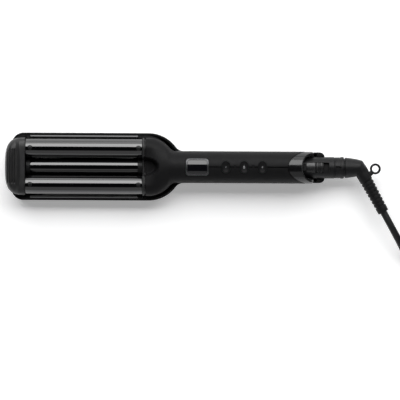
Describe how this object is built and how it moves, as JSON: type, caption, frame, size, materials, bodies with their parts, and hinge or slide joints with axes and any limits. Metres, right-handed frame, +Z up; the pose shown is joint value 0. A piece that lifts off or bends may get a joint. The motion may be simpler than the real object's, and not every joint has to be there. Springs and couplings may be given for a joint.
{
  "type": "hair waver",
  "caption": "Corded hair waver with two hinged jaws, full upper barrels over a waved lower plate, a lock slider, buttons, a display and a swivelling cord.",
  "frame": {"origin": "on the surface the waver lies on, midway between the tip's end and the end of the swivel spindle, on the centre line", "axes": "+X along the waver from the cool tip to the cord, +Y across the jaws, +Z up, from the lower arm to the upper arm"},
  "size_m": [0.5227, 0.1701, 0.0393],
  "materials": {
    "soft_black": "soft-touch matt black",
    "black_plastic": "moulded matt black",
    "ceramic_black": "glossy black ceramic coating",
    "gloss_grey": "glossy dark grey",
    "lens_black": "glossy black window",
    "bright_frame": "polished bright frame",
    "cord_rubber": "matt black sheath",
    "steel": "plain steel",
    "brass": "plain brass",
    "aluminium": "plain aluminium",
    "heater_ceramic": "white ceramic",
    "board_green": "circuit board",
    "strap": "woven strap"
  },
  "bodies": {
    "lower_arm": {"lower_housing": "soft_black", "lower_tip_cover": "black_plastic", "wave_plate": "ceramic_black", "plate_supports": "black_plastic", "plate_heaters": "heater_ceramic", "heater_clamp": "steel", "thermal_fuse": "aluminium", "lower_inner_cover": "black_plastic", "tail_housing": "black_plastic", "hinge_pin": "steel", "hinge_spring": "steel", "lock_spring": "brass", "swivel_collar": "black_plastic", "contact_brushes": "brass"},
    "lock": {"lock_slider": "black_plastic"},
    "upper_arm": {"upper_housing": "soft_black", "upper_chassis": "black_plastic", "hinge_cap": "gloss_grey", "tip_cap": "black_plastic", "barrel_collar": "black_plastic", "barrel_left": "ceramic_black", "barrel_right": "ceramic_black", "barrel_heaters": "heater_ceramic", "heater_carriers": "aluminium", "barrel_screws": "steel", "display_bezel": "bright_frame", "display_lens": "lens_black", "display_module": "board_green", "control_board": "board_green", "tact_switches": "black_plastic"},
    "minus": {"button_minus": "soft_black"},
    "power": {"button_power": "soft_black"},
    "plus": {"button_plus": "soft_black"},
    "swivel": {"swivel_spindle": "steel", "slip_rings": "brass", "cord_elbow": "cord_rubber", "cord_lead": "cord_rubber", "cord_coil": "cord_rubber", "cord_end": "cord_rubber", "cord_tie": "strap", "plug_body": "cord_rubber", "plug_pins": "brass"}
  },
  "joints": [
    {"name": "jaw_hinge", "type": "hinge", "parent": "lower_arm", "child": "upper_arm", "pos_m": [0.133, 0, 0.0195], "axis": [0, 1, 0], "range_deg": [0, 20]},
    {"name": "lock_slide", "type": "slide", "parent": "lower_arm", "child": "lock", "axis": [1, 0, 0], "range_m": [0, 0.006]},
    {"name": "cord_swivel", "type": "hinge", "parent": "lower_arm", "child": "swivel", "pos_m": [0.17, 0, 0.0195], "axis": [1, 0, 0], "continuous": true},
    {"name": "press_minus", "type": "slide", "parent": "upper_arm", "child": "minus", "axis": [0, 0, -1], "range_m": [0, 0.0005], "stiffness_N_per_m": 400},
    {"name": "press_power", "type": "slide", "parent": "upper_arm", "child": "power", "axis": [0, 0, -1], "range_m": [0, 0.0005], "stiffness_N_per_m": 400},
    {"name": "press_plus", "type": "slide", "parent": "upper_arm", "child": "plus", "axis": [0, 0, -1], "range_m": [0, 0.0005], "stiffness_N_per_m": 400}
  ]
}
